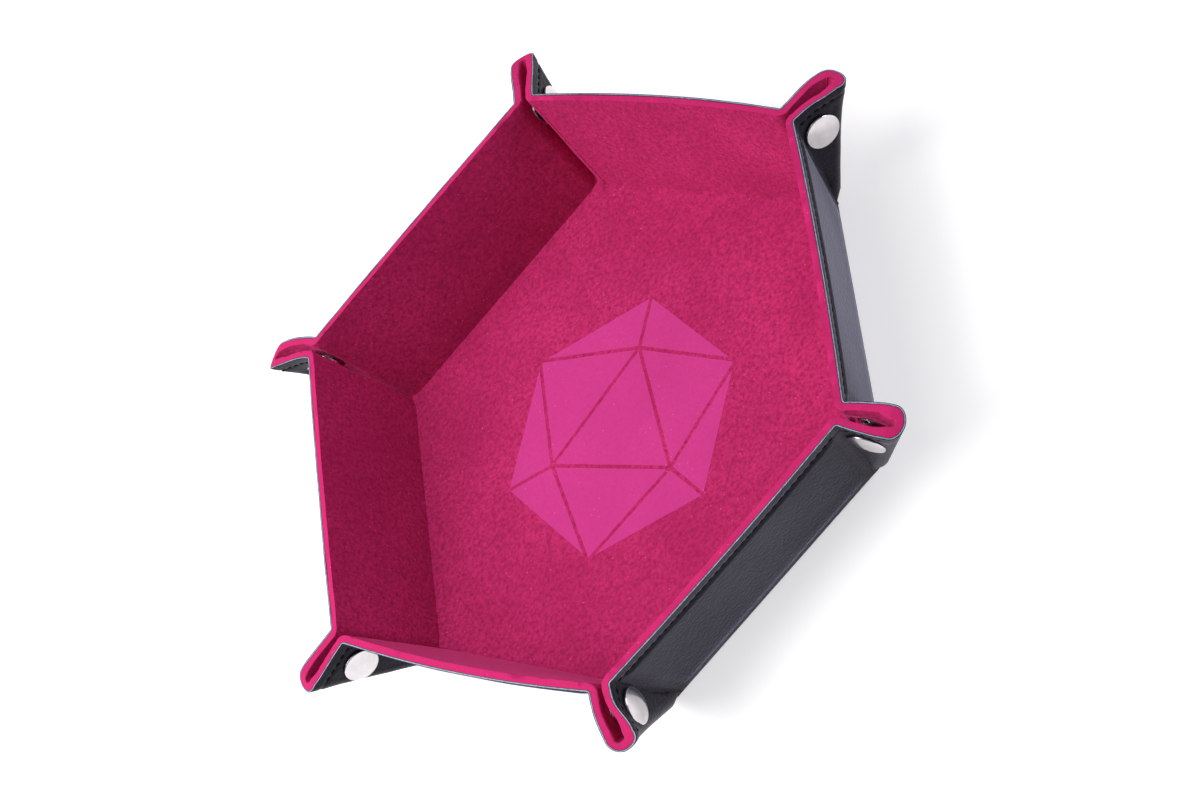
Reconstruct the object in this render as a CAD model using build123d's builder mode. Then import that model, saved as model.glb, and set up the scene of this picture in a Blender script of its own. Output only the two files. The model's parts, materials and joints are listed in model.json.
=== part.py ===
"""Folding hexagonal dice tray: a stiffened leather and velvet sheet whose six walls stand up
when the pinched corners are snapped together, and fold down flat when they are opened.

Frame: millimetres, +Z up, origin at the middle of the underside. Wall 1 faces -Y and the walls
count anticlockwise seen from above. Corner n lies between wall n and the next one.
"""

import os
from math import acos, asin, atan, cos, degrees, radians, sin, tan

from build123d import *

# ---- driving dimensions ----
wall_count = 6
base_side = 98.0  # along one fold line, on the velvet surface
wall_length = 44.0  # from the fold line up the slope to the rim
wall_lean = 14.0  # degrees outward from upright
cover_thickness = 0.8  # leather
board_thickness = 1.2
lining_thickness = 2.2  # velvet with its padding
corner_radius = 12.0  # of the sheet's outer corners, laid flat
pinch_gap = 2.2  # between the two velvet faces of a pinched corner
fold_clearance = 0.15  # each panel stops this far short of its fold line
crease_clearance = 0.9  # each flap stops this far short of the crease, which is left open here

board_fold_margin = 2.5  # from the board's edge to the fold line
board_end_margin = 5.0
board_rim_margin = 6.0
board_corner_radius = 2.0

snap_along_flap = (11.1, 31.6)  # snap centre in the flap, from the foot of its hinge line
snap_seat_radius = 6.0
snap_seat_depth = 1.0
post_radius = 1.7
post_hole_radius = 1.75

# ---- worked out from those ----
sheet_thickness = cover_thickness + lining_thickness
lean = radians(wall_lean)
half_corner = radians(180 / wall_count)  # half of the corner kite's angle, laid flat
apothem = base_side / 2 / tan(half_corner)
flap_offset = sheet_thickness + pinch_gap / 2  # leather face to the corner's middle plane
end_slope = atan(sin(half_corner) * sin(lean) / cos(half_corner))  # of each wall's end line
end_inset = (flap_offset - sin(half_corner) * cos(lean) * sheet_thickness) / cos(half_corner)
flap_fold = degrees(acos(sin(half_corner) * cos(lean)))  # at rest, away from the wall's plane
wall_half_foot = base_side / 2 - end_inset
base_cover_top = cover_thickness
base_top = sheet_thickness


def wall_plane(wall, height):
    """Plane of a wall, X along its fold line, Y up the slope and Z outward, at a height above
    the velvet face."""
    angle = radians(-90 + 360 / wall_count * (wall - 1))
    outward = Vector(cos(angle), sin(angle), 0)
    along = Vector(-sin(angle), cos(angle), 0)
    normal = outward * cos(lean) - Vector(0, 0, 1) * sin(lean)
    fold_middle = outward * apothem + Vector(0, 0, base_top)
    return Plane(origin=fold_middle + normal * height, x_dir=along, z_dir=normal)


def flap_plane(wall, side):
    """Plane of a folded corner flap's leather face. Its origin is the foot of the hinge line,
    its X the direction that the wall's own X has once the flap is turned by the fold."""
    wall_face = wall_plane(wall, sheet_thickness)
    foot = wall_face.from_local_coords(Vector(side * wall_half_foot, 0, 0))
    hinge_direction = wall_face.x_dir * (side * sin(end_slope)) + wall_face.y_dir * cos(end_slope)
    hinge = Axis(foot, hinge_direction)
    turned_x = wall_face.x_dir.rotate(hinge, -side * flap_fold)
    turned_z = wall_face.z_dir.rotate(hinge, -side * flap_fold)
    return Plane(origin=foot, x_dir=turned_x, z_dir=turned_z)


def wall_outline(foot_margin, end_margin, rim_margin):
    """Closed trapezoid of a wall, stepped in from its fold line, ends and rim."""
    low, high = foot_margin, wall_length - rim_margin
    end = wall_half_foot - end_margin / cos(end_slope)
    low_x, high_x = end + low * tan(end_slope), end + high * tan(end_slope)
    with BuildLine() as outline:
        Polyline((-low_x, low), (low_x, low), (high_x, high), (-high_x, high), close=True)
    return outline.line


def flap_outline(side):
    """Closed outline of a corner flap, from its hinge line to the crease, round at the rim."""
    foot_y = 1.0
    hinge_step = fold_clearance / cos(end_slope)
    crease_step = end_inset - crease_clearance / cos(half_corner)

    def on_hinge(y):
        return side * (y * tan(end_slope) + hinge_step), y

    def on_crease(y):
        return side * (y * tan(half_corner) + crease_step), y

    centre_y = wall_length - corner_radius
    centre_x = on_crease(centre_y)[0]
    arc_start = (centre_x, wall_length)
    arc_middle_angle = half_corner / 2
    arc_middle = (
        centre_x + side * corner_radius * sin(arc_middle_angle),
        centre_y + corner_radius * cos(arc_middle_angle),
    )
    arc_end = on_crease(centre_y + corner_radius * cos(half_corner))
    with BuildLine() as outline:
        Polyline(on_crease(foot_y), on_hinge(foot_y), on_hinge(wall_length), arc_start)
        ThreePointArc(arc_start, arc_middle, arc_end)
        Line(arc_end, on_crease(foot_y))
    return outline.line


def snap_centre(side):
    """Centre of the snap in the flap's plane."""
    return side * snap_along_flap[0], snap_along_flap[1]


os.makedirs("parts", exist_ok=True)

# ---- base: leather, stiffener and velvet, one flat hexagon each ----
base_radius = base_side - fold_clearance / cos(half_corner)
board_radius = base_side - board_fold_margin / cos(half_corner)

with BuildPart() as base_cover:
    with BuildSketch():
        RegularPolygon(base_radius, wall_count)
    extrude(amount=cover_thickness)
base_cover.part.label = "base_cover"
export_step(base_cover.part, "parts/base_cover.step")

with BuildPart() as base_board:
    with BuildSketch(Plane.XY.offset(base_cover_top)):
        RegularPolygon(board_radius, wall_count)
    extrude(amount=board_thickness)
    fillet(base_board.edges().filter_by(Axis.Z), board_corner_radius)
base_board.part.label = "base_board"
export_step(base_board.part, "parts/base_board.step")

with BuildPart() as base_lining:
    with BuildSketch(Plane.XY.offset(base_cover_top)):
        RegularPolygon(base_radius, wall_count)
    extrude(amount=lining_thickness)
    add(base_board.part, mode=Mode.SUBTRACT)
base_lining.part.label = "base_lining"
export_step(base_lining.part, "parts/base_lining.step")

# ---- walls: the same three layers, standing on their fold lines ----
for wall in range(1, wall_count + 1):
    with BuildPart() as wall_cover:
        with BuildSketch(wall_plane(wall, lining_thickness)):
            with BuildLine():
                add(wall_outline(fold_clearance, fold_clearance, 0))
            make_face()
        extrude(amount=cover_thickness)
    wall_cover.part.label = f"wall_{wall}_cover"
    export_step(wall_cover.part, f"parts/wall_{wall}_cover.step")

    board_base = wall_plane(wall, lining_thickness - board_thickness)
    with BuildPart() as wall_board:
        with BuildSketch(board_base):
            with BuildLine():
                add(wall_outline(board_fold_margin, board_end_margin, board_rim_margin))
            make_face()
        extrude(amount=board_thickness)
        fillet(wall_board.edges().filter_by(Axis((0, 0, 0), board_base.z_dir)), board_corner_radius)
    wall_board.part.label = f"wall_{wall}_board"
    export_step(wall_board.part, f"parts/wall_{wall}_board.step")

    with BuildPart() as wall_lining:
        with BuildSketch(wall_plane(wall, 0)):
            with BuildLine():
                add(wall_outline(fold_clearance, fold_clearance, 0))
            make_face()
        extrude(amount=lining_thickness)
        add(wall_board.part, mode=Mode.SUBTRACT)
    wall_lining.part.label = f"wall_{wall}_lining"
    export_step(wall_lining.part, f"parts/wall_{wall}_lining.step")

# ---- snap profiles, turned about the snap's axis; radius across, height away from the leather ----
cap_radius = 6.25
cap_edge = 0.9
cap_rise = 1.9
socket_radius = 5.75
socket_height = 3.0
mouth_radius = 2.55
cavity_radius = 3.5
socket_floor = 0.5
post_end_gap = 0.05
stud_radius = 5.5
stud_flange = 0.7
nub_radius = 2.2
nub_neck_radius = 1.95
nub_height = 2.0
post_length = sheet_thickness - snap_seat_depth + socket_floor - post_end_gap


def cap_profile():
    """Domed cap with a rolled rim on the leather face, and the post that goes through the flap."""
    roll = cap_edge / 2
    dome_foot = cap_radius - roll
    dome_height = cap_rise - cap_edge
    dome_radius = (dome_foot**2 + dome_height**2) / (2 * dome_height)
    half_angle = asin(dome_foot / dome_radius) / 2
    dome_middle = (dome_radius * sin(half_angle), cap_rise - dome_radius * (1 - cos(half_angle)))
    with BuildLine() as profile:
        Polyline((0, -post_length), (post_radius, -post_length), (post_radius, 0), (dome_foot, 0))
        ThreePointArc((dome_foot, 0), (cap_radius, roll), (dome_foot, cap_edge))
        ThreePointArc((dome_foot, cap_edge), dome_middle, (0, cap_rise))
        Line((0, cap_rise), (0, -post_length))
    return profile.line


def socket_profile():
    """Female half: a ring with a sprung mouth, seated on the velvet side of its flap."""
    shoulder = socket_height - 1.2
    lip = socket_height - 0.8
    with BuildLine() as profile:
        Polyline(
            (post_hole_radius, 0),
            (socket_radius, 0),
            (socket_radius, shoulder - 0.6),
            (socket_radius - 0.7, shoulder),
            (cavity_radius + 0.7, shoulder),
            (cavity_radius + 0.4, socket_height),
            (mouth_radius, socket_height),
            (mouth_radius, lip),
            (cavity_radius, lip),
            (cavity_radius, socket_floor),
            (post_hole_radius, socket_floor),
            close=True,
        )
    return profile.line


def stud_profile():
    """Male half: a flange with a nub that swells towards its round end."""
    top = stud_flange + nub_height
    with BuildLine() as profile:
        Polyline(
            (post_hole_radius, 0),
            (stud_radius, 0),
            (stud_radius, stud_flange * 0.6),
            (stud_radius - 0.4, stud_flange),
            (nub_radius + 0.3, stud_flange),
            (nub_neck_radius, stud_flange + 0.5),
            (nub_radius, top - 0.7),
        )
        RadiusArc((nub_radius, top - 0.7), (nub_radius - 0.7, top), -0.7)
        Polyline((nub_radius - 0.7, top), (0, top), (0, socket_floor))
        Polyline((0, socket_floor), (post_hole_radius, socket_floor), (post_hole_radius, 0))
    return profile.line


def across(seat):
    """Plane that holds a snap's axis: X across the seat, Y along the seat's own Z."""
    return Plane(origin=seat.origin, x_dir=seat.x_dir, z_dir=-seat.y_dir)


# ---- corners: two flaps each, pinched together by one snap ----
for corner in range(1, wall_count + 1):
    halves = [("socket", corner, 1, socket_profile), ("stud", corner % wall_count + 1, -1, stud_profile)]
    for kind, wall, side, inner_profile in halves:
        leather_face = flap_plane(wall, side)
        velvet_back = leather_face.offset(-cover_thickness)
        velvet_face = leather_face.offset(-sheet_thickness)

        with BuildPart() as flap_cover:
            with BuildSketch(leather_face):
                with BuildLine():
                    add(flap_outline(side))
                make_face()
                with Locations(snap_centre(side)):
                    Circle(post_hole_radius, mode=Mode.SUBTRACT)
            extrude(amount=-cover_thickness)
        flap_cover.part.label = f"{kind}_flap_{corner}_cover"
        export_step(flap_cover.part, f"parts/{kind}_flap_{corner}_cover.step")

        with BuildPart() as flap_lining:
            with BuildSketch(velvet_back):
                with BuildLine():
                    add(flap_outline(side))
                make_face()
                with Locations(snap_centre(side)):
                    Circle(post_hole_radius, mode=Mode.SUBTRACT)
            extrude(amount=-lining_thickness)
            with BuildSketch(velvet_face):
                with Locations(snap_centre(side)):
                    Circle(snap_seat_radius)
            extrude(amount=snap_seat_depth, mode=Mode.SUBTRACT)
        flap_lining.part.label = f"{kind}_flap_{corner}_lining"
        export_step(flap_lining.part, f"parts/{kind}_flap_{corner}_lining.step")

        cap_centre = leather_face.from_local_coords(Vector(*snap_centre(side), 0))
        inner_centre = cap_centre - leather_face.z_dir * (sheet_thickness - snap_seat_depth)
        cap_seat = Plane(origin=cap_centre, x_dir=leather_face.x_dir, z_dir=leather_face.z_dir)
        inner_seat = Plane(origin=inner_centre, x_dir=leather_face.x_dir, z_dir=-leather_face.z_dir)
        with BuildPart() as snap:
            for seat, profile in [(cap_seat, cap_profile()), (inner_seat, inner_profile())]:
                with BuildSketch(across(seat)):
                    with BuildLine():
                        add(profile)
                    make_face()
                revolve(axis=Axis(seat.origin, seat.z_dir))
        snap.part.label = f"snap_{kind}_{corner}"
        export_step(snap.part, f"parts/snap_{kind}_{corner}.step")

print("flap fold at rest", round(flap_fold, 3), "end slope", round(degrees(end_slope), 3))
print("apothem", round(apothem, 3), "across flats laid flat", round(2 * (apothem + wall_length), 1))
print("across corners laid flat", round(2 * (base_side + wall_length / cos(half_corner)), 1))
print("rim height", round(base_top + wall_length * cos(lean), 2))
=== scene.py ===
import json
import math

import bmesh
import bpy
from mathutils import Matrix, Vector, noise


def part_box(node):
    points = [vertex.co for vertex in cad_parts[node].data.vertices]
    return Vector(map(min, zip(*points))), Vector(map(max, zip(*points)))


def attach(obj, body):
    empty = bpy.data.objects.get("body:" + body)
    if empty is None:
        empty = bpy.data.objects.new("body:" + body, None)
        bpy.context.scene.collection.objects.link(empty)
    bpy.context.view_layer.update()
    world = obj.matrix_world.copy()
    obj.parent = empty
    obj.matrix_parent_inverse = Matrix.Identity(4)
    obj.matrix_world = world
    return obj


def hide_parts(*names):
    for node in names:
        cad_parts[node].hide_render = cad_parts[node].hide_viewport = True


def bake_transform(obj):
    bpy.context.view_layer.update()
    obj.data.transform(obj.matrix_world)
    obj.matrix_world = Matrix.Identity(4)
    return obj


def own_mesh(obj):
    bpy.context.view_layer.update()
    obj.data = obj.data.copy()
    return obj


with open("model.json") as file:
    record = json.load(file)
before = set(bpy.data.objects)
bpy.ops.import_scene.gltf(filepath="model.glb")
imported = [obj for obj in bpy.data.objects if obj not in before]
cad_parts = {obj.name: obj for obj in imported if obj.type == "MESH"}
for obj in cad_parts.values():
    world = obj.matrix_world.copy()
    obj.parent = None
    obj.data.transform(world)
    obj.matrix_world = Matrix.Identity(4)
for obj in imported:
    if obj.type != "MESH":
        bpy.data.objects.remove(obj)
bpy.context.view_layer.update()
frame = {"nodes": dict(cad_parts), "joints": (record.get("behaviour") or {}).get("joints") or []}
joints = {joint["name"]: joint for joint in frame["joints"]}
print("frame loaded:", len(frame["nodes"]), "nodes")

wallCount = 6
halfCorner = math.radians(180 / wallCount)
up = Vector((0, 0, 1))
mm = 0.001  # everything below is written in millimetres and scaled on the way in


def clamp(value, low=0.0, high=1.0):
    return max(low, min(high, value))


def ease(start, end, value):  # 0 before start, 1 after end, smooth between
    t = clamp((value - start) / (end - start))
    return t * t * (3 - 2 * t)


def mix(a, b, t):
    return a + (b - a) * t


def spread(low, high, count):
    return [mix(low, high, i / (count - 1)) for i in range(count)]


# the sheet that the whole tray is folded from
sheet = dict(
    leather=0.8,
    lining=2.2,
    tipRadius=12.0,  # of its outer corners, laid flat
    rootRadius=0.9,  # of the leather where a wall turns into an ear
    stitchInset=3.7,  # from the cut edge to the stitch line
)
thick = sheet["leather"] + sheet["lining"]


class Wall:  # places on one wall: x along its fold, y up the slope, z outward from the velvet
    def __init__(self, number):
        fold = joints[f"wall_{number}_fold"]
        hinge = Vector(joints[f"socket_flap_{number}_turn"]["axis"])
        self.number = number
        self.name = f"wall_{number}"
        self.origin = Vector(fold["pos_m"]) / mm
        self.along = Vector(fold["axis"])
        self.rise = (hinge - self.along * hinge.dot(self.along)).normalized()
        self.out = self.along.cross(self.rise)
        self.endSlope = hinge.angle(self.rise)
        foot = Vector(joints[f"socket_flap_{number}_turn"]["pos_m"]) / mm
        self.footHalf = (foot - self.origin).dot(self.along)
        self.foldHalf = self.origin.xy.length * math.tan(halfCorner)
        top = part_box(f"wall_{number}_lining")[1].z / mm
        self.length = (top - self.origin.z) / self.rise.z
        self.foldTurn = self.rise.angle(Vector((self.origin.x, self.origin.y, 0)))

    def at(self, x, y, z):
        return self.origin + self.along * x + self.rise * y + self.out * z

    def endAt(self, y):  # where the wall meets the hinge line of its ear
        return self.footHalf + y * math.tan(self.endSlope)


class Flap:  # places on one half of an ear: x away from the hinge foot, y towards the rim
    def __init__(self, kind, corner):
        joint = joints[f"{kind}_flap_{corner}_turn"]
        self.side = 1 if kind == "socket" else -1
        self.corner = corner
        self.wall = walls[corner if kind == "socket" else corner % wallCount + 1]
        self.name = f"{kind}_flap_{corner}"
        self.joint = joint["name"]
        self.foot = Vector(joint["pos_m"]) / mm
        self.hinge = Vector(joint["axis"]) * self.side
        self.inWall = self.hinge.cross(self.wall.out) * self.side
        angle = math.radians(-60 + 60 * (corner - 1))
        self.out = Vector((math.sin(angle), -math.cos(angle), 0)) * self.side
        self.turn = self.out.angle(self.wall.out)
        self.inFlap = self.inWall * math.cos(self.turn) + self.wall.out * math.sin(self.turn)
        slope = self.wall.endSlope
        self.across = self.hinge * math.sin(slope) + self.inFlap * math.cos(slope)
        self.rise = self.hinge * math.cos(slope) - self.inFlap * math.sin(slope)
        self.inset = self.wall.foldHalf - self.wall.footHalf
        self.length = self.wall.length
        self.reach = abs(self.foot.dot(self.out))  # leather face to the middle of the ear
        self.bulge = ears[corner]["bulge"][0 if kind == "socket" else 1]
        self.tipFill = self.bulge * ears[corner]["fill"]

    def at(self, x, y, depth):  # depth from the leather face towards the velvet
        return self.foot + self.across * x + self.rise * y - self.out * depth

    def lay(self, x, y, depth):  # the same, with the ear's own lean past its snap
        look = ears[self.corner]
        share = ease(look["leanFrom"], earShape["leanTo"], x) * ease(*earShape["leanRise"], y)
        return self.at(x, y, depth + self.side * look["lean"] * share * earShape["leanScale"])

    def crumple(self, x, y):  # soft unevenness, dying out towards the wall
        v, u = self.creasePlace(x, y)
        soft = wobble(self.at(x, y, 0), earShape["crumpleSize"], earShape["crumpleDepth"])
        return soft * ease(*earShape["crumpleAcross"], u) * ease(*earShape["crumpleAlong"], v)

    def creasePlace(self, x, y):  # distance along the crease, and distance past it
        x -= self.inset
        return (
            x * math.sin(halfCorner) + y * math.cos(halfCorner),
            x * math.cos(halfCorner) - y * math.sin(halfCorner),
        )

    def fromCrease(self, v, u):  # the other way round
        return (
            self.inset + v * math.sin(halfCorner) + u * math.cos(halfCorner),
            v * math.cos(halfCorner) - u * math.sin(halfCorner),
        )

    def swell(self, x, y):  # how far the ear opens out towards its tip
        v, u = self.creasePlace(x, y)
        return self.bulge * ease(*earShape["mouth"], v) * ease(*ears[self.corner]["opens"], u)

    def fill(self, x, y):  # the velvet thickens again towards the end of the slot, which rounds it
        v, u = self.creasePlace(x, y)
        nearCrease = ease(-self.reach - earShape["fillWidth"], -self.reach, u)
        return self.tipFill * ease(*earShape["mouth"], v) * nearCrease

    def edgeGap(self, x, y):  # distance in from the cut edge
        cx, cy = self.fromCrease((self.length - tip) / math.cos(halfCorner), 0)
        if x > cx:
            return tip - math.hypot(x - cx, y - cy)
        return self.length - y


# how each ear opens out on its socket side and its stud side, across which distance from the crease,
# how much velvet closes it again, and how far it leans
ears = {
    1: dict(bulge=(1.4, 1.9), opens=(-25, -13), fill=0.9, lean=0.0, leanFrom=12),
    2: dict(bulge=(1.4, 1.3), opens=(-19, -7), fill=0.6, lean=-2.0, leanFrom=12),
    3: dict(bulge=(0.7, 1.0), opens=(-19, -7), fill=0.6, lean=0.0, leanFrom=12),
    4: dict(bulge=(1.1, 0.8), opens=(-19, -8), fill=0.6, lean=3.4, leanFrom=8),
    5: dict(bulge=(0.9, 0.8), opens=(-20, -8), fill=0.7, lean=0.0, leanFrom=12),
    6: dict(bulge=(0.3, 2.6), opens=(-17, -6), fill=0.45, lean=2.6, leanFrom=10),
}
earShape = dict(
    mouth=(36.5, 48),  # along the crease, where the ear opens out
    fillWidth=6,
    leanTo=34,  # from the hinge, where the lean is full
    leanRise=(8, 40),  # up the slope
    leanScale=1.6,
    crumpleSize=7,
    crumpleDepth=0.32,
    crumpleAcross=(-20, -6),  # from the crease
    crumpleAlong=(1, 9),
)
tip = sheet["tipRadius"]
walls = {n: Wall(n) for n in range(1, wallCount + 1)}
flaps = [Flap(kind, corner) for corner in range(1, wallCount + 1) for kind in ("socket", "stud")]
side = walls[1].foldHalf * 2
length = walls[1].length
print("walls", round(length, 2), "mm up the slope,", round(side, 2), "mm along the fold")


# mesh helpers
marginRows = 3  # the last rows of a grid, which lie outside the stitch line


def slab(bm, outer, inner, face=0, back=0, rim=((1, 0),), margin=0, ends=0):
    # closed shell between two grids of places; rim is the cut edge, as (share of its width, material)
    # margin is the material of the last rows, and of as many columns at each end as ends says
    rows, cols, sides = len(outer), len(outer[0]), ([], [])
    a = [[bm.verts.new(p * mm) for p in row] for row in outer]
    b = [[bm.verts.new(p * mm) for p in row] for row in inner]

    def quad(corners, material):
        try:
            bm.faces.new(corners).material_index = material
        except ValueError:
            pass

    for i in range(rows - 1):
        for j in range(cols - 1):
            atMargin = i >= rows - marginRows or j < ends or j > cols - 2 - ends
            quad((a[i][j], a[i][j + 1], a[i + 1][j + 1], a[i + 1][j]), margin if atMargin else face)
            quad((b[i][j], b[i + 1][j], b[i + 1][j + 1], b[i][j + 1]), back)
    band = a[-1]
    for share, material in rim:
        last = share == 1
        nextBand = b[-1]
        if not last:
            nextBand = [bm.verts.new(mix(p.co, q.co, share)) for p, q in zip(a[-1], b[-1])]
        for j in range(cols - 1):
            quad((band[j], band[j + 1], nextBand[j + 1], nextBand[j]), material)
        if not last:
            sides[0].append(nextBand[0])
            sides[1].append(nextBand[-1])
        band = nextBand
    for j in range(cols - 1):
        quad((a[0][j + 1], a[0][j], b[0][j], b[0][j + 1]), face)
    for i in range(rows - 2):
        quad((a[i][0], a[i + 1][0], b[i + 1][0], b[i][0]), face)
        quad((a[i + 1][-1], a[i][-1], b[i][-1], b[i + 1][-1]), back)
    firstEnd = [a[-2][0], a[-1][0], *sides[0], b[-1][0], b[-2][0]]
    lastEnd = [b[-2][-1], b[-1][-1], *reversed(sides[1]), a[-1][-1], a[-2][-1]]
    bm.faces.new(firstEnd).material_index = face
    bm.faces.new(lastEnd).material_index = back
    return a, b


def roundRim(bm, rows, width):  # softens the edges along a cut edge
    edges = []
    for row in rows:
        for first, second in zip(row, row[1:]):
            edge = bm.edges.get((first, second))
            if edge:
                edges.append(edge)
    bmesh.ops.bevel(bm, geom=edges, offset=width * mm, segments=3, profile=0.5, affect="EDGES", material=-1)


def finishMesh(bm, name, materials, sharp=38):  # edges bent more than sharp degrees stay crisp
    bmesh.ops.recalc_face_normals(bm, faces=bm.faces)
    limit = math.radians(sharp)
    for faceOf in bm.faces:
        faceOf.smooth = True
    for edge in bm.edges:
        if len(edge.link_faces) == 2 and edge.calc_face_angle(0) > limit:
            edge.smooth = False
    mesh = bpy.data.meshes.new(name)
    bm.to_mesh(mesh)
    bm.free()
    for material in materials:
        mesh.materials.append(material)
    piece = bpy.data.objects.new(name, mesh)
    bpy.context.scene.collection.objects.link(piece)
    return piece


def wobble(place, size, amount):  # smooth unevenness of a soft edge or face
    return noise.noise(place / size) * amount


# finishes
def nodeKit(name):
    material = bpy.data.materials.new(name)
    material.use_nodes = True
    tree = material.node_tree
    shader = tree.nodes["Principled BSDF"]
    place = tree.nodes.new("ShaderNodeTexCoord").outputs["Object"]
    return material, tree, shader, place


def addNode(tree, kind, **sockets):  # a node with its sockets set or linked by name
    node = tree.nodes.new(kind)
    for key, value in sockets.items():
        socket = node.inputs.get(key.replace("_", " "))
        if socket is None:
            setattr(node, key, value)
        elif isinstance(value, bpy.types.NodeSocket):
            tree.links.new(value, socket)
        else:
            socket.default_value = value
    return node


def noiseOf(tree, place, scale, detail=3.0, rough=0.55):
    node = addNode(tree, "ShaderNodeTexNoise", Vector=place, Scale=scale, Detail=detail, Roughness=rough)
    return node.outputs["Fac"]


def ramp(tree, value, stops):  # stops are (position, grey or colour)
    node = tree.nodes.new("ShaderNodeValToRGB")
    tree.links.new(value, node.inputs["Fac"])
    while len(node.color_ramp.elements) < len(stops):
        node.color_ramp.elements.new(0.5)
    for element, (position, colour) in zip(node.color_ramp.elements, stops):
        element.position = position
        element.color = (*colour, 1) if hasattr(colour, "__len__") else (colour,) * 3 + (1,)
    return node.outputs["Color"]


def blendColour(tree, amount, first, second, kind="MIX"):
    node = tree.nodes.new("ShaderNodeMix")
    node.data_type = "RGBA"
    node.blend_type = kind
    for index, value in ((0, amount), (6, first), (7, second)):
        if isinstance(value, bpy.types.NodeSocket):
            tree.links.new(value, node.inputs[index])
        elif index:
            node.inputs[index].default_value = (*value, 1)
        else:
            node.inputs[index].default_value = value
    return node.outputs[2]


def bumpOf(tree, height, strength, distance, under=None):
    node = addNode(tree, "ShaderNodeBump", Height=height, Strength=strength, Distance=distance)
    if under is not None:
        tree.links.new(under, node.inputs["Normal"])
    return node.outputs["Normal"]


velvetLook = dict(
    pile=(0.45, 0.018, 0.113),
    deep=(0.26, 0.009, 0.064),
    worn=(0.57, 0.028, 0.150),
    lint=(0.80, 0.10, 0.30),
    sheen=(1.0, 0.12, 0.42),
    brushedScale=26,  # how often each pattern repeats, per metre
    clumpScale=760,
    fibreScale=2300,
    lintScale=430.0,
    lintPatchScale=75,
    roughness=0.92,
    specular=0.12,
    sheenRoughness=0.28,
)


def makeVelvet(name, pile, deep, worn, mottle=1.0, sheen=0.35):
    material, tree, shader, place = nodeKit(name)
    brushed = noiseOf(tree, place, velvetLook["brushedScale"], 4, 0.6)  # where a hand has laid it over
    clumps = noiseOf(tree, place, velvetLook["clumpScale"], 4, 0.7)
    fibre = noiseOf(tree, place, velvetLook["fibreScale"], 2, 0.7)
    base = blendColour(tree, ramp(tree, brushed, [(0.36, 0.0), (0.66, 1.0)]), pile, worn)
    dark = ramp(tree, clumps, [(0.32, mottle), (0.62, 0.0)])
    base = blendColour(tree, dark, base, deep)
    nap = ramp(tree, fibre, [(0.25, 0.82), (0.75, 1.12)])
    base = blendColour(tree, 0.55 * min(1, mottle + 0.3), base, nap, "MULTIPLY")
    specks = addNode(tree, "ShaderNodeTexVoronoi", Vector=place, Scale=velvetLook["lintScale"])
    patches = noiseOf(tree, place, velvetLook["lintPatchScale"], 1, 0.5)
    lint = addNode(tree, "ShaderNodeMath", operation="MULTIPLY")
    tree.links.new(ramp(tree, specks.outputs["Distance"], [(0.07, 1.0), (0.13, 0.0)]), lint.inputs[0])
    tree.links.new(ramp(tree, patches, [(0.48, 0.0), (0.56, 0.7)]), lint.inputs[1])
    base = blendColour(tree, lint.outputs[0], base, velvetLook["lint"])
    tree.links.new(base, shader.inputs["Base Color"])
    soft = bumpOf(tree, clumps, 0.35 * mottle + 0.1, 0.0004)
    tree.links.new(bumpOf(tree, fibre, 0.5, 0.00015, soft), shader.inputs["Normal"])
    shader.inputs["Roughness"].default_value = velvetLook["roughness"]
    shader.inputs["Specular IOR Level"].default_value = velvetLook["specular"]
    shader.inputs["Sheen Weight"].default_value = sheen
    shader.inputs["Sheen Roughness"].default_value = velvetLook["sheenRoughness"]
    shader.inputs["Sheen Tint"].default_value = (*velvetLook["sheen"], 1)
    return material


velvet = makeVelvet("velvet", velvetLook["pile"], velvetLook["deep"], velvetLook["worn"], 0.9, 0.9)
velvetRim = makeVelvet(
    "velvetRim", (0.55, 0.019, 0.135), (0.43, 0.014, 0.10), (0.58, 0.022, 0.145), mottle=0.35, sheen=0.08
)
inkPink = makeVelvet(
    "inkPink", (0.53, 0.036, 0.215), (0.44, 0.027, 0.17), (0.57, 0.042, 0.235), mottle=0.35, sheen=0.10
)


leatherLook = dict(
    grainScale=950.0,
    patchScale=38,
    fineScale=2600,
    grainDepth=0.24,
    valley=(0.006, 0.006, 0.009),  # the colour between the pebbles
    shineTint=(0.88, 0.84, 1.0),
    sheenTint=(0.72, 0.72, 0.95),
)


def makeLeather(name, dark, light, gloss, shine, sheen=0.08, sheenSpread=0.35):
    material, tree, shader, place = nodeKit(name)
    cells = addNode(
        tree, "ShaderNodeTexVoronoi", Vector=place, Scale=leatherLook["grainScale"], Randomness=0.9
    )
    cells.feature = "SMOOTH_F1"
    pebble = ramp(tree, cells.outputs["Distance"], [(0.10, 1.0), (0.62, 0.0)])
    patches = noiseOf(tree, place, leatherLook["patchScale"], 4, 0.6)
    fine = noiseOf(tree, place, leatherLook["fineScale"], 2, 0.6)
    base = blendColour(tree, ramp(tree, patches, [(0.3, 0.0), (0.7, 1.0)]), dark, light)
    between = ramp(tree, pebble, [(0.0, 0.45), (0.8, 0.0)])
    base = blendColour(tree, between, base, leatherLook["valley"])
    tree.links.new(base, shader.inputs["Base Color"])
    roughness = ramp(tree, patches, [(0.3, gloss + 0.08), (0.7, gloss)])
    tree.links.new(roughness, shader.inputs["Roughness"])
    grain = bumpOf(tree, pebble, leatherLook["grainDepth"], 0.00035)
    tree.links.new(bumpOf(tree, fine, 0.10, 0.0001, grain), shader.inputs["Normal"])
    shader.inputs["Specular IOR Level"].default_value = shine
    shader.inputs["Specular Tint"].default_value = (*leatherLook["shineTint"], 1)
    shader.inputs["Sheen Weight"].default_value = sheen
    shader.inputs["Sheen Roughness"].default_value = sheenSpread
    shader.inputs["Sheen Tint"].default_value = (*leatherLook["sheenTint"], 1)
    return material


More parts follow.
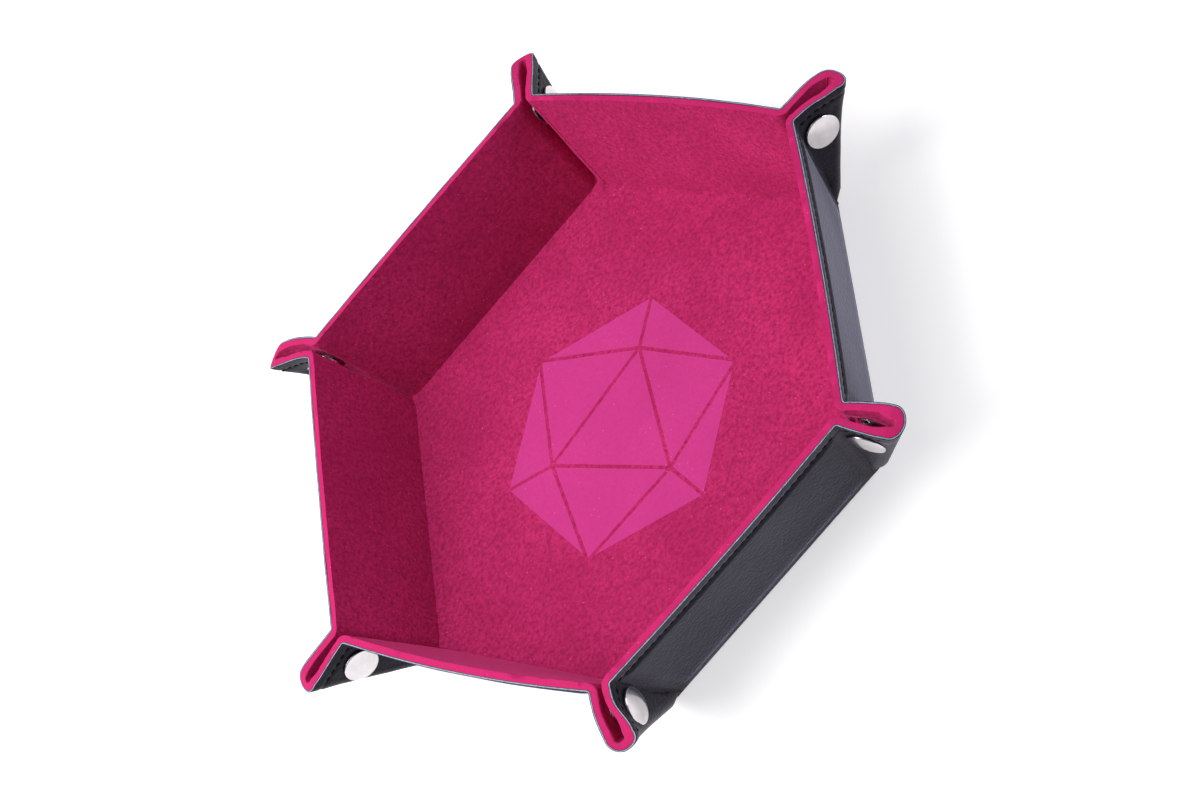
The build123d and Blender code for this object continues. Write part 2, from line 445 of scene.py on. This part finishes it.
def makeCutEdge():  # the bare edge of the leather, lighter and bluish
    material, tree, shader, place = nodeKit("cutEdge")
    fibres = noiseOf(tree, place, 900, 4, 0.65)
    tones = [(0.25, (0.10, 0.13, 0.19)), (0.55, (0.30, 0.37, 0.50)), (0.8, (0.44, 0.52, 0.64))]
    tree.links.new(ramp(tree, fibres, tones), shader.inputs["Base Color"])
    tree.links.new(bumpOf(tree, fibres, 0.4, 0.0002), shader.inputs["Normal"])
    shader.inputs["Roughness"].default_value = 0.62
    return material


def makeThread():
    material, tree, shader, place = nodeKit("thread")
    twist = addNode(tree, "ShaderNodeTexWave", Vector=place, Scale=900.0, Distortion=2.0).outputs["Fac"]
    tones = [(0.2, (0.001, 0.001, 0.002)), (0.8, (0.005, 0.004, 0.007))]
    tree.links.new(ramp(tree, twist, tones), shader.inputs["Base Color"])
    tree.links.new(bumpOf(tree, twist, 0.5, 0.0001), shader.inputs["Normal"])
    shader.inputs["Roughness"].default_value = 0.7
    shader.inputs["Specular IOR Level"].default_value = 0.1
    return material


def makeChrome():
    material, tree, shader, place = nodeKit("chrome")
    smears = noiseOf(tree, place, 260, 3, 0.6)
    # the slight pink in these tones is a painted reflection of pink surroundings; the pale grey under it is
    # the plating's own colour, varied by smears
    tones = [(0.3, (0.58, 0.54, 0.555)), (0.7, (0.68, 0.64, 0.655))]
    tree.links.new(ramp(tree, smears, tones), shader.inputs["Base Color"])
    tree.links.new(ramp(tree, smears, [(0.3, 0.10), (0.7, 0.19)]), shader.inputs["Roughness"])
    polish = noiseOf(tree, place, 1400, 2, 0.5)
    tree.links.new(bumpOf(tree, polish, 0.05, 0.0001), shader.inputs["Normal"])
    shader.inputs["Metallic"].default_value = 1.0
    return material


leather = makeLeather("leather", (0.007, 0.005, 0.011), (0.015, 0.012, 0.021), 0.54, 0.2, 1.0, 0.27)
marginLeather = makeLeather("marginLeather", (0.013, 0.011, 0.018), (0.022, 0.019, 0.029), 0.45, 0.2)
earLeather = makeLeather("earLeather", (0.006, 0.005, 0.009), (0.015, 0.013, 0.021), 0.42, 0.13)
cutEdge, thread, chrome = makeCutEdge(), makeThread(), makeChrome()
print("finishes made")


# where the leather stands above or below its plain face
panel = dict(
    swell=0.55,
    shoulder=(4.0, 5.3),  # from the cut edge
    ends=2.6,  # the plain strip beside each ear
    endSlope=2.4,
    channelDepth=0.24,
    channelWidth=0.75,
)
cutBands = ((0.3, 2), (0.72, 1), (1, 2))  # the leather's cut edge: burnished, bare, burnished


def channelAt(gap):  # the sewn channel, a gap in from the cut edge
    offLine = (gap - sheet["stitchInset"]) / panel["channelWidth"]
    return panel["channelDepth"] * math.exp(-(offLine**2))


def panelAt(gap, fromEnds):  # the stiffened field, a little proud of its margins
    inward = ease(0, panel["endSlope"], fromEnds - panel["ends"])
    return panel["swell"] * ease(*panel["shoulder"], gap) * inward


bows = {1: 0.8, 2: 1.0, 3: 2.6, 4: 0.6, 5: 0.5, 6: 2.4}  # how far each rim bows out at mid-span
bowWhole = 1.15  # the share of the wall's height by which the bow is whole
rimGaps = [6.8, 6.2, 5.6, 5.1, 4.7, 4.4, 4.1, 3.8, 3.5, 3.2, 2.9, 2.6, 2.2, 1.6, 0.9, 0.0]
wallRows = [0, 0.8, 1.8, 3.2, 5, 8, 12, 16, 20, 24, 28, 32, 35] + [length - gap for gap in rimGaps]
velvetRows = [0.0, 0.5, 1.2, 2.5, 5, 9, 13, 17, 21, 25, 29, 33, 36, 38.5, 40.5, 42, 43, 43.6, length]
rootStep = sheet["rootRadius"] * math.tan(flaps[0].turn / 2)  # from a hinge line to where its bend ends
leatherRound, velvetRound, wallVelvetRound = 0.14, 0.35, 0.3  # of the edges along the cut


def bow(wall, share, y):
    return bows[wall.number] * ease(0, bowWhole, y / length) * (1 - share * share)


def columnsOf(count):  # from one end to the other, closer together at the ends
    return [math.sin(t * math.pi / 2) for t in spread(-1, 1, count)]


def makeWallLeather(wall):
    bm = bmesh.new()
    columns = columnsOf(41)
    outer, inner = [], []
    for t in spread(1, 0, 8)[:-1]:  # round the outside of the fold
        angle = wall.foldTurn * t
        reach = mix(wall.endAt(0) - rootStep, wall.foldHalf, ease(0, 0.6, t))
        for rows, radius in ((outer, thick), (inner, thick - sheet["leather"])):
            drop, lift = -radius * math.sin(angle), radius * math.cos(angle)
            rows.append([wall.at(c * reach, drop, lift) for c in columns])
    for y in wallRows:
        reach = wall.endAt(y) - rootStep / math.cos(wall.endSlope)
        rowOut, rowIn = [], []
        for c in columns:
            x = c * reach
            lean = bow(wall, c, y)
            fromEnds = min(reach - abs(x), y + 1)
            inside = ease(0, 4, reach - abs(x))
            soft = wobble(wall.at(x, y, 0), 17, 0.14) * ease(0, 6, y) * inside
            rise = y + (wobble(wall.at(x, y, 0), 9, 0.12) * inside if y == length else 0)
            relief = panelAt(length - y, fromEnds) - channelAt(length - y)
            rowOut.append(wall.at(x, rise, thick + lean + relief + soft))
            rowIn.append(wall.at(x, rise, thick - sheet["leather"] + lean + min(0, relief)))
        outer.append(rowOut)
        inner.append(rowIn)
    a, b = slab(bm, outer, inner, rim=cutBands, margin=2, ends=4)
    roundRim(bm, (a[-1], b[-1]), leatherRound)
    piece = finishMesh(bm, f"{wall.name}_leather", [leather, cutEdge, marginLeather])
    down = wall.at(0, -thick * math.sin(wall.foldTurn), thick * math.cos(wall.foldTurn))
    wall.at(0, 0, thick) * mm
    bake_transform(piece)
    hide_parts(f"{wall.name}_cover", f"{wall.name}_board")


def makeWallVelvet(wall):
    bm = bmesh.new()
    columns = columnsOf(45)
    face, back = [], []
    for y in velvetRows:
        reach = wall.endAt(y) - rootStep / math.cos(wall.endSlope)
        rowFace, rowBack = [], []
        for c in columns:
            x = c * reach
            inside = ease(0, 4, reach - abs(x))
            puff = 0.05 * ease(0, 5, y) * ease(0, 4, length - y) * inside
            puff += wobble(wall.at(x, y, 0), 14, 0.12) * ease(0, 5, y) * inside
            rise = y + ((wobble(wall.at(x, y, 5), 7, 0.16) - 0.06) * inside if y == length else 0)
            rowFace.append(wall.at(x, rise, bow(wall, c, y) - puff))
            rowBack.append(wall.at(x, rise, sheet["lining"] + bow(wall, c, y)))
        face.append(rowFace)
        back.append(rowBack)
    a, b = slab(bm, face, back, rim=((1, 1),))
    roundRim(bm, (a[-1],), wallVelvetRound)
    piece = finishMesh(bm, f"{wall.name}_velvet", [velvet, velvetRim])
    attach(piece, wall.name)
    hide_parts(f"{wall.name}_lining")


for wall in walls.values():
    makeWallLeather(wall)
    makeWallVelvet(wall)
print("walls made")


# the ears: a bend from the wall, a flat half, and half of the roll at the crease
earRows = [0, 0.12, 0.24, 0.36, 0.48, 0.6, 0.7, 0.8, 0.88, 0.95]  # of the way up to the sewn margin
earClose = dict(below=0.75, until=(19, 25), rim=0.3)
capSeat = dict(place=(11.1, 31.6), radius=6.0, press=0.18, sunk=0.95, fade=dict(leather=2.5, velvet=3.5))
valley = dict(place=2.4, depth=0.5, width=0.9)  # in the leather beside its bend from the wall
velvetPuff = 0.15
footStep = 0.6  # the ears start this far up their hinge line
rollFoot = -2.0  # along the crease, just past the corner of the base
rollTongue = [-0.25, -0.12]  # the roll's edge, which lies under the flat half
rollPast = 0.28  # how far the roll reaches past the crease, to meet its other half when flat
rimOf = dict(leather=cutBands, velvet=((1, 1),))
roundOf = dict(leather=leatherRound, velvet=velvetRound)


def gapsOf(total):  # distances down from the cut edge, for one column of an ear
    return [mix(total, rimGaps[0], t) for t in earRows] + rimGaps


def flapColumns(flap):  # foot and top of each column of the flat half, in its own plane
    slope = flap.wall.endSlope
    fan = halfCorner - slope
    alongHinge = Vector((math.sin(slope), math.cos(slope)))
    offHinge = Vector((math.cos(slope), -math.sin(slope)))
    meet = (rootStep * math.cos(fan) - flap.inset * math.cos(halfCorner) + flap.reach) / math.sin(fan)
    centre = Vector(flap.fromCrease((length - tip) / math.cos(halfCorner), 0))
    sweep = halfCorner - math.asin(flap.reach / tip)
    hingeTop = (length + rootStep * math.sin(slope)) / math.cos(slope)
    first = offHinge * rootStep + alongHinge * hingeTop
    straight = centre.x - first.x
    columns = []
    for share in spread(0, 1, 17):
        foot = offHinge * rootStep + alongHinge * mix(footStep, meet, share)
        run = share * (straight + sweep * tip)
        if run <= straight:
            top = Vector((first.x + run, length))
        else:
            turn = (run - straight) / tip
            top = centre + Vector((math.sin(turn), math.cos(turn))) * tip
        columns.append((foot, top))
    return columns


def closing(y, gap):  # the velvet closes the mouth of an ear below its snap, and a little at the rim
    below = earClose["below"] * (1 - ease(*earClose["until"], y))
    return below + earClose["rim"] * (1 - ease(1, 5, gap))


def makeFlapLayer(flap, kind):
    wall = flap.wall
    slope = wall.endSlope
    nearDepth, farDepth = 0 if kind == "leather" else thick, sheet["leather"]
    count = len(earRows) + len(rimGaps)
    seen, hidden = [[] for _ in range(count)], [[] for _ in range(count)]

    def depths(gap, swell, pressed):  # of the seen face and of the hidden one
        cut = channelAt(gap) if kind == "leather" else 0
        puff = velvetPuff * ease(0, 4, gap) if kind == "velvet" else 0
        sunk = pressed if kind == "leather" else 0
        return nearDepth - swell + cut + pressed + puff, farDepth - swell + cut + sunk

    for bend in spread(0, flap.turn, 7):
        q = mix(-rootStep, rootStep, bend / flap.turn)
        top = (length + q * math.sin(slope)) / math.cos(slope)
        for row, gap in enumerate(gapsOf(top - footStep)):
            middle = flap.foot + flap.hinge * (top - gap) - flap.inWall * rootStep
            middle += wall.out * sheet["rootRadius"]
            spoke = flap.inWall * math.sin(bend) - wall.out * math.cos(bend)
            seenDepth, hiddenDepth = depths(gap, 0, 0)
            if kind == "velvet":
                seenDepth += closing(top - gap, gap) * (bend / flap.turn) ** 2
            seen[row].append(middle + spoke * (sheet["rootRadius"] + seenDepth))
            hidden[row].append(middle + spoke * (sheet["rootRadius"] + hiddenDepth))
    for foot, top in flapColumns(flap)[1:]:
        down = foot - top
        for row, gap in enumerate(gapsOf(down.length)):
            spot = top + down * (gap / down.length)
            x, y = spot
            fromSnap = math.hypot(x - capSeat["place"][0], y - capSeat["place"][1])
            near = 1 - ease(capSeat["radius"], capSeat["radius"] + capSeat["fade"][kind], fromSnap)
            pressed = near * (capSeat["press"] if kind == "leather" else -capSeat["sunk"])
            swell = flap.swell(x, y) + flap.crumple(x, y)
            seenDepth, hiddenDepth = depths(flap.edgeGap(x, y), swell, pressed)
            if kind == "velvet":
                seenDepth += flap.fill(x, y) + wobble(flap.at(x, y, 0), 5, 0.3) * ease(0, 6, x)
                seenDepth += closing(y, gap) * (1 - ease(4, 11, x))
                hiddenDepth = min(hiddenDepth, seenDepth - 0.3)
            else:
                dip = valley["depth"] * math.exp(-(((x - valley["place"]) / valley["width"]) ** 2))
                dip *= ease(2, 6, y) * ease(3, 6, gap)
                seenDepth, hiddenDepth = seenDepth + dip, hiddenDepth + dip
            seen[row].append(flap.lay(x, y, seenDepth))
            hidden[row].append(flap.lay(x, y, hiddenDepth))
    bm = bmesh.new()
    a, b = slab(bm, seen, hidden, rim=rimOf[kind])
    roundRim(bm, (a[-1], b[-1]) if kind == "leather" else (a[-1],), roundOf[kind])
    finishes = [earLeather, cutEdge, earLeather] if kind == "leather" else [velvet, velvetRim]
    piece = finishMesh(bm, f"{flap.name}_{kind}", finishes)
    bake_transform(piece)
    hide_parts(f"{flap.name}_cover" if kind == "leather" else f"{flap.name}_lining")


def rollPlace(flap, turn, gap, inward):  # on the roll: how far round, below the cut edge, and inward
    flatRadius = flap.reach - inward
    u = -flap.reach + flatRadius * math.sin(turn)
    v = (length - tip) / math.cos(halfCorner) + math.sqrt(tip**2 - u**2) - gap
    narrowed = mix(0.45, 1, ease(rollFoot, rollFoot + 6, v))  # towards its foot
    u = -flap.reach + (u + flap.reach + rollPast * turn / (math.pi / 2)) * narrowed
    x, y = flap.fromCrease(v, u)
    opened = ease(*earShape["mouth"], v)
    swell = flap.bulge * opened + flap.crumple(*flap.fromCrease(v, -flap.reach))
    if inward > thick / 2:  # the velvet's own face
        swell -= flap.tipFill * opened
    return flap.lay(x, y, flap.reach - (flatRadius + swell) * math.cos(turn))


def makeRollLayer(flap, kind):
    near, far = 0 if kind == "leather" else thick, sheet["leather"]
    topOfRoll = (length - tip) / math.cos(halfCorner) + math.sqrt(tip**2 - flap.reach**2)
    seen, hidden = [], []
    for gap in gapsOf(topOfRoll - rollFoot):
        cut = channelAt(gap) if kind == "leather" else 0
        turns = rollTongue + spread(0, math.pi / 2, 9)
        puff = velvetPuff * ease(0, 4, gap) if kind == "velvet" else 0
        seen.append([rollPlace(flap, turn, gap, near + cut + puff) for turn in turns])
        hidden.append([rollPlace(flap, turn, gap, far + cut) for turn in turns])
    bm = bmesh.new()
    a, b = slab(bm, seen, hidden, rim=rimOf[kind], back=3 if kind == "leather" else 0)
    roundRim(bm, (a[-1], b[-1]) if kind == "leather" else (a[-1],), roundOf[kind])
    finishes = [velvet, velvetRim]
    if kind == "leather":  # its back is velvet, since it shows in the open crease when flat
        finishes = [earLeather, cutEdge, earLeather, velvet]
    piece = finishMesh(bm, f"{flap.name}_{kind}_roll", finishes)
    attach(piece, flap.name)
    flap.at(0, 0, near) * mm
    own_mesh(piece)


for flap in flaps:
    for kind in ("leather", "velvet"):
        makeFlapLayer(flap, kind)
        makeRollLayer(flap, kind)
print("ears made")


# the base
def spokeAt(degrees, radius=1.0):
    angle = math.radians(degrees)
    return Vector((math.cos(angle), math.sin(angle), 0)) * radius


def hexRing(radius, z, perSide=16):
    points = []
    for n in range(wallCount):
        a, b = spokeAt(60 * n), spokeAt(60 * (n + 1))
        points += [mix(a, b, i / perSide) * radius + up * z for i in range(perSide)]
    return points


def makeHexPlate(name, rings, material, body, nodes):  # rings are (radius, z), middle to middle
    bm = bmesh.new()
    loops = [[bm.verts.new(p * mm) for p in hexRing(radius, z)] for radius, z in rings]
    for first, second in zip(loops, loops[1:]):
        for i in range(len(first)):
            j = (i + 1) % len(first)
            bm.faces.new((first[i], first[j], second[j], second[i]))
    bm.faces.new(loops[0])
    bm.faces.new(reversed(loops[-1]))
    piece = finishMesh(bm, name, [material])
    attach(piece, body)
    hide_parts(*nodes)


floorTop = thick
base = dict(
    floorRadii=[4, 20, 40, 60, 75, 86, 92, 95, 97],
    floorInset=0.02,
    soleInset=0.05,
    soleClear=0.01,  # between leather and velvet
    margin=3.5,  # of the sole, round a groove
    grooveDepth=0.25,
    grooveOuter=1.2,
    grooveInner=1.5,
)
floorReach = side - base["floorInset"]
floorRings = [(radius, floorTop) for radius in base["floorRadii"]]
floorRings += [(floorReach, floorTop), (floorReach, sheet["leather"])]
floorRings += [(60, sheet["leather"]), (4, sheet["leather"])]
makeHexPlate("floor_velvet", floorRings, velvet, "base", ["base_lining", "base_board"])
soleReach, soleTop = side - base["soleInset"], sheet["leather"] - base["soleClear"]
groove = side - base["margin"] / math.cos(halfCorner)
soleRings = [(4, soleTop), (soleReach, soleTop), (soleReach, 0.0)]
soleRings += [(groove + base["grooveOuter"], base["grooveDepth"]), (groove, base["grooveDepth"])]
soleRings += [(groove - base["grooveInner"], 0.0), (60, 0.0), (4, 0.0)]
makeHexPlate("base_leather", soleRings, leather, "base", ["base_cover"])


# leather drawn round each corner of the base, and the velvet pinched inside it
knuckle = dict(
    radius=2.75,
    clear=0.03,  # above the table
    openAt=1.41,  # radians from its foot
    nests=((0.0, 2.65), (1.8, 3.35)),  # how far in from the corner, and radius
    nestSunk=0.45,
    nestRise=0.3,
    leatherFrom=0.15,  # of a nest's side, as the cosine from straight outward
    leatherRows=6,
    around=24,
)


def turnsOf(count):  # angles right round, without the last, which is the first again
    return spread(0, math.tau, count + 1)[:-1]


def makeLobes(name, material, lobes, outwardAngle):
    # lobes are (middle, profile of radius and height); only what faces the floor keeps the material
    around = knuckle["around"]
    bm = bmesh.new()
    for middle, profile in lobes:
        loops = []
        for radius, height in profile:
            ring = [Vector((math.cos(a) * radius, math.sin(a) * radius, height)) for a in turnsOf(around)]
            loops.append([bm.verts.new((middle + p) * mm) for p in ring])
        for row, (first, second) in enumerate(zip(loops, loops[1:])):
            for k in range(around):
                n = (k + 1) % around
                patch = bm.faces.new((first[k], first[n], second[n], second[k]))
                outward = math.cos((k + 0.5) * math.tau / around - outwardAngle) > knuckle["leatherFrom"]
                patch.material_index = 1 if outward and row < knuckle["leatherRows"] else 0
        bm.faces.new(reversed(loops[0])).material_index = 1
        bm.faces.new(loops[-1])
    piece = finishMesh(bm, name, [material, earLeather])
    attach(piece, "base")


def makeKnuckle(corner):
    angle = math.radians(-60 + 60 * (corner - 1))
    centre = Vector((math.cos(angle), math.sin(angle), 0)) * side + up * thick
    ball = []
    for t in spread(0, knuckle["openAt"], 9):
        ball.append((knuckle["radius"] * math.sin(t) + 0.02, -(thick - knuckle["clear"]) * math.cos(t)))
    makeLobes(f"corner_{corner}_knuckle", earLeather, [(centre, ball)], angle)
    nests = []
    for inward, radius in knuckle["nests"]:
        cushion = []
        for t in spread(0, 1, 9):
            height = mix(-knuckle["nestSunk"], knuckle["nestRise"], t)
            cushion.append((radius * math.sqrt(1 - t**3) + 0.02, height))
        nests.append((centre * (1 - inward / side) + up * (thick * inward / side), cushion))
    makeLobes(f"corner_{corner}_nest", velvet, nests, angle)


for corner in range(1, wallCount + 1):
    makeKnuckle(corner)
print("base made")


# the figure printed on the floor: a plain twenty-sided die seen face on
figure = dict(radius=47.0, inner=0.60, gap=1.3, height=0.06, sunk=0.3, turn=36.0, middle=(-3.0, 4.0))


def makeFigure():
    turned = Matrix.Rotation(math.radians(figure["turn"] - 90), 3, "Z")
    rim = [spokeAt(90 - 60 * k, figure["radius"]) for k in range(6)]
    core = [spokeAt(90 - 120 * k, figure["radius"] * figure["inner"]) for k in range(3)]
    facets = [core]
    for k in range(3):
        here, nextCore = core[k], core[(k + 1) % 3]
        facets.append([here, rim[2 * k + 1], nextCore])
        facets.append([rim[2 * k], rim[2 * k + 1], here])
        facets.append([rim[2 * k + 1], rim[(2 * k + 2) % 6], nextCore])
    bm = bmesh.new()
    for facet in facets:
        middle = sum(facet, Vector()) / 3
        edges = [(facet[(i + 1) % 3] - facet[i]).length for i in range(3)]
        area = ((facet[1] - facet[0]).cross(facet[2] - facet[0])).length / 2
        inCentre = sum((facet[i] * edges[(i + 1) % 3] for i in range(3)), Vector()) / sum(edges)
        shrink = 1 - figure["gap"] / 2 / (2 * area / sum(edges))
        points = [inCentre + (p - inCentre) * shrink for p in facet]
        placed = [turned @ p + Vector((*figure["middle"], 0)) for p in points]
        heights = (floorTop + figure["height"], floorTop - figure["sunk"])
        levels = [[bm.verts.new((p + up * z) * mm) for p in placed] for z in heights]
        bm.faces.new(levels[0])
        bm.faces.new(reversed(levels[1]))
        for i in range(3):
            j = (i + 1) % 3
            bm.faces.new((levels[0][i], levels[1][i], levels[1][j], levels[0][j]))
    bmesh.ops.triangulate(bm, faces=bm.faces)
    piece = finishMesh(bm, "floor_print", [inkPink])
    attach(piece, "base")


makeFigure()
print("print made")


# the lockstitch that runs round the whole tray, in from the cut edge
stitch = dict(pitch=2.95, long=1.8, wide=0.85, high=0.5, sunk=0.20)


def addStitch(bm, place, along, out):
    across = out.cross(along).normalized()
    rings = []
    for t in spread(-1, 1, 9):
        girth = math.sqrt(max(0.0, 1 - abs(t) ** 3.2)) * 0.5 + 0.02
        lift = 0.10 * (1 - t * t)
        rings.append([
            bm.verts.new((
                place + along * (t * stitch["long"] / 2)
                + across * (math.cos(k * math.pi / 4) * stitch["wide"] * girth)
                + out * (math.sin(k * math.pi / 4) * stitch["high"] * girth + lift)
            ) * mm)
            for k in range(8)
        ])
    for first, second in zip(rings, rings[1:]):
        for k in range(8):
            bm.faces.new((first[k], first[(k + 1) % 8], second[(k + 1) % 8], second[k]))
    bm.faces.new(reversed(rings[0]))
    bm.faces.new(rings[-1])


def sewAlong(bm, path, start=0.0):  # path is a list of (place, outward), close together
    left = start
    for (place, out), (nextPlace, nextOut) in zip(path, path[1:]):
        step = (nextPlace - place).length
        while left <= step:
            t = left / step
            along = (nextPlace - place).normalized()
            addStitch(bm, mix(place, nextPlace, t), along, mix(out, nextOut, t).normalized())
            left += stitch["pitch"]
        left -= step


def makeStitches():
    inset = sheet["stitchInset"]
    y = length - inset
    for wall in walls.values():
        bm = bmesh.new()
        reach = wall.endAt(y) - rootStep / math.cos(wall.endSlope) - 0.8
        path = []
        for c in spread(-1, 1, 60):
            place = wall.at(c * reach, y, thick + bow(wall, c * 0.98, y) - stitch["sunk"])
            path.append((place, wall.out))
        sewAlong(bm, path, start=0.6)
        piece = finishMesh(bm, f"{wall.name}_stitches", [thread], sharp=60)
        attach(piece, wall.name)
    for flap in flaps:
        centre = Vector(flap.fromCrease((length - tip) / math.cos(halfCorner), 0))
        first = flap.wall.endAt(y) - flap.wall.footHalf + rootStep
        sweep = halfCorner - math.asin(flap.reach / (tip - inset))
        line = [(x, y) for x in spread(first + 0.6, centre.x, 24)]
        for turn in spread(0.05, max(sweep, 0.06), 6):
            line.append(centre + Vector((math.sin(turn), math.cos(turn))) * (tip - inset))
        path = []
        for x, onSlope in line:
            depth = stitch["sunk"] - flap.swell(x, onSlope) - flap.crumple(x, onSlope)
            path.append((flap.lay(x, onSlope, depth), flap.out))
        bm = bmesh.new()
        sewAlong(bm, path, start=1.0)
        piece = finishMesh(bm, f"{flap.name}_stitches", [thread], sharp=60)
        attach(piece, flap.name)


makeStitches()
print("stitches sewn")


# the snaps keep their own shape and get their plating
for name, node in frame["nodes"].items():
    if name.startswith("snap"):
        node.data.materials.clear()
        node.data.materials.append(chrome)


# the stage
studio = dict(
    floorSize=6.0,
    floorColour=(0.93, 0.93, 0.93),
    floorRoughness=0.9,
    floorGlow=0.22,
    world=(0.98, 0.95, 1.0),
    worldStrength=0.25,
)


def makeStage():
    material, tree, shader, place = nodeKit("stageFloor")
    shader.inputs["Base Color"].default_value = (*studio["floorColour"], 1)
    shader.inputs["Roughness"].default_value = studio["floorRoughness"]
    shader.inputs["Emission Color"].default_value = (1, 1, 1, 1)
    shader.inputs["Emission Strength"].default_value = studio["floorGlow"]
    mesh = bpy.data.meshes.new("stage_floor")
    half = studio["floorSize"] / 2
    corners = [(-half, -half, 0), (half, -half, 0), (half, half, 0), (-half, half, 0)]
    mesh.from_pydata(corners, [], [(0, 1, 2, 3)])
    mesh.materials.append(material)
    floor = bpy.data.objects.new("stage_floor", mesh)
    bpy.context.scene.collection.objects.link(floor)
    world = bpy.data.worlds.new("studio")
    world.use_nodes = True
    background = world.node_tree.nodes["Background"]
    background.inputs["Color"].default_value = (*studio["world"], 1)
    background.inputs["Strength"].default_value = studio["worldStrength"]
    bpy.context.scene.world = world


def addLight(name, azimuth, elevation, distance, size, power, colour=(1, 1, 1), shadow=True):
    a, e = math.radians(azimuth), math.radians(elevation)
    place = Vector((math.cos(a) * math.cos(e), math.sin(a) * math.cos(e), math.sin(e))) * distance
    light = bpy.data.lights.new(name, "AREA")
    light.energy, light.size, light.color, light.use_shadow = power, size, colour, shadow
    lamp = bpy.data.objects.new(name, light)
    lamp.location = place
    lamp.rotation_euler = (-place).to_track_quat("-Z", "Y").to_euler()
    bpy.context.scene.collection.objects.link(lamp)


lights = dict(
    keyLight=dict(azimuth=165, elevation=50, distance=1.6, size=1.1, power=19),
    keyFill=dict(azimuth=165, elevation=50, distance=1.6, size=1.1, power=15, shadow=False),
    topLight=dict(azimuth=150, elevation=80, distance=1.8, size=0.8, power=4),
    sideLight=dict(azimuth=-15, elevation=16, distance=1.5, size=0.6, power=8, colour=(0.90, 0.86, 1.0)),
)
makeStage()
for name, setting in lights.items():
    addLight(name, **setting)
bpy.context.scene.view_settings.view_transform = "Standard"

view = dict(
    place=(0.1406, -0.7633, 0.8672),
    forward=(-0.121368, 0.665941, -0.736065),
    right=(0.649653, -0.507368, -0.566152),
    lens=105.9,
    sensor=36,
)
forward, right = Vector(view["forward"]).normalized(), Vector(view["right"]).normalized()
camera = bpy.data.objects.new("camera", bpy.data.cameras.new("camera"))
camera.data.lens = view["lens"]
camera.data.sensor_width = view["sensor"]
facing = Matrix((right, right.cross(forward), -forward)).transposed().to_4x4()
camera.matrix_world = Matrix.Translation(Vector(view["place"])) @ facing
bpy.context.scene.collection.objects.link(camera)
bpy.context.scene.camera = camera
print("stage, lights and camera placed")

bpy.context.view_layer.update()
